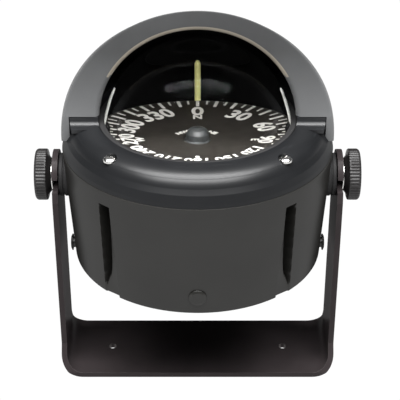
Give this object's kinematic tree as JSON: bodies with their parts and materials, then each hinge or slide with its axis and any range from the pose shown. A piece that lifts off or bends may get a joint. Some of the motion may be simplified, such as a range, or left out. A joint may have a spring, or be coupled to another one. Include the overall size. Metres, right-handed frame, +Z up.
{
  "type": "binnacle compass",
  "caption": "Marine compass in a U bracket: fluted case, clear liquid-filled dome with gimballed card and lubber posts, arched hood, and knurled clamp knobs for tilt.",
  "frame": {"origin": "centre of the underside of the bracket's base, where it rests on the dash or deck", "axes": "+Z up, +X to the reader's right along the knob axis, +Y forward, away from the reader"},
  "size_m": [0.1716, 0.1419, 0.2138],
  "materials": {
    "bracket_paint": "satin black powder coat",
    "case_plastic": "fine-grained satin black moulding",
    "knob_plastic": "matt black moulding with a straight knurl",
    "inner_plastic": "matt black",
    "card": "matt dark brown-black with white printed marks",
    "lubber_green": "yellow-green paint",
    "lubber_white": "white paint",
    "clear_dome": "polished clear acrylic",
    "jewel": "polished sapphire",
    "lamp_green": "translucent green lens",
    "stainless": "bright turned stainless",
    "brass": "turned brass",
    "magnet": "ground magnet steel",
    "rubber": "matt black rubber"
  },
  "bodies": {
    "bracket": {"bracket": "bracket_paint"},
    "compass": {"case": "case_plastic", "bottom_cover": "case_plastic", "cover_screw_1": "stainless", "cover_screw_2": "stainless", "cover_screw_3": "stainless", "cover_screw_4": "stainless", "cable_gland": "rubber", "bezel": "case_plastic", "bezel_screw_1": "stainless", "bezel_screw_2": "stainless", "bezel_screw_3": "stainless", "bezel_screw_4": "stainless", "dome": "clear_dome", "dome_seal": "rubber", "bowl_gasket": "rubber", "bowl": "inner_plastic", "diaphragm": "rubber", "diaphragm_ring": "brass", "fill_plug": "brass", "roll_pin_rear": "stainless", "roll_pin_front": "stainless", "pivot_stud_right": "stainless", "pivot_stud_left": "stainless", "friction_washer_right": "rubber", "friction_washer_left": "rubber", "compensator_plug_rear": "case_plastic", "compensator_plug_front": "case_plastic", "compensator_plug_right": "case_plastic", "compensator_plug_left": "case_plastic", "lamp_housing": "case_plastic", "lamp_lens": "lamp_green"},
    "hood": {"hood": "case_plastic"},
    "clamp_right": {"clamp_washer_right": "stainless"},
    "clamp_left": {"clamp_washer_left": "stainless"},
    "knob_right": {"knob_right": "knob_plastic", "knob_insert_right": "brass"},
    "knob_left": {"knob_left": "knob_plastic", "knob_insert_left": "brass"},
    "gimbal": {"gimbal_ring": "inner_plastic", "pitch_pin_right": "stainless", "pitch_pin_left": "stainless"},
    "cradle": {"cradle": "inner_plastic", "counterweight": "brass", "pivot_post": "stainless", "lubber_post_forward": "lubber_green", "lubber_post_right": "lubber_white", "lubber_post_left": "lubber_white"},
    "card": {"dial_card": "card", "card_hub": "inner_plastic", "card_float": "inner_plastic", "card_magnet_right": "magnet", "card_magnet_left": "magnet", "jewel_cup": "jewel"},
    "compensator_fore_aft": {"compensator_shaft_fore_aft": "brass", "compensator_magnet_fore_aft": "magnet"},
    "compensator_athwart": {"compensator_shaft_athwart": "brass", "compensator_magnet_athwart": "magnet"}
  },
  "joints": [
    {"name": "compass_tilt", "type": "hinge", "parent": "bracket", "child": "compass", "pos_m": [0, 0, 0.117], "axis": [1, 0, 0], "range_deg": [-45, 45]},
    {"name": "clamp_right_slide", "type": "slide", "parent": "compass", "child": "clamp_right", "axis": [1, 0, 0], "range_m": [0, 0.002]},
    {"name": "knob_right_turn", "type": "hinge", "parent": "clamp_right", "child": "knob_right", "pos_m": [0.08, 0, 0.117], "axis": [1, 0, 0], "range_deg": [0, 720]},
    {"name": "clamp_left_slide", "type": "slide", "parent": "compass", "child": "clamp_left", "axis": [-1, 0, 0], "range_m": [0, 0.002]},
    {"name": "knob_left_turn", "type": "hinge", "parent": "clamp_left", "child": "knob_left", "pos_m": [-0.08, 0, 0.117], "axis": [-1, 0, 0], "range_deg": [0, 720]},
    {"name": "hood_lift", "type": "slide", "parent": "compass", "child": "hood", "axis": [0, 0, 1], "range_m": [0, 0.03]},
    {"name": "gimbal_roll", "type": "hinge", "parent": "compass", "child": "gimbal", "pos_m": [0, 0, 0.1434], "axis": [0, 1, 0], "range_deg": [-30, 30]},
    {"name": "gimbal_pitch", "type": "hinge", "parent": "gimbal", "child": "cradle", "pos_m": [0, 0, 0.1434], "axis": [1, 0, 0], "range_deg": [-30, 30]},
    {"name": "card_spin", "type": "hinge", "parent": "cradle", "child": "card", "pos_m": [0, 0, 0.1394], "axis": [0, 0, 1], "continuous": true},
    {"name": "compensator_fore_aft_turn", "type": "hinge", "parent": "compass", "child": "compensator_fore_aft", "pos_m": [0, 0, 0.084], "axis": [0, 1, 0], "continuous": true},
    {"name": "compensator_athwart_turn", "type": "hinge", "parent": "compass", "child": "compensator_athwart", "pos_m": [0, -0.008, 0.0794], "axis": [1, 0, 0], "continuous": true}
  ],
  "couplings": [
    {"joint": "knob_right_turn", "follows": "clamp_right_slide", "rad_per_m": 6283.2},
    {"joint": "knob_left_turn", "follows": "clamp_left_slide", "rad_per_m": 6283.2}
  ]
}
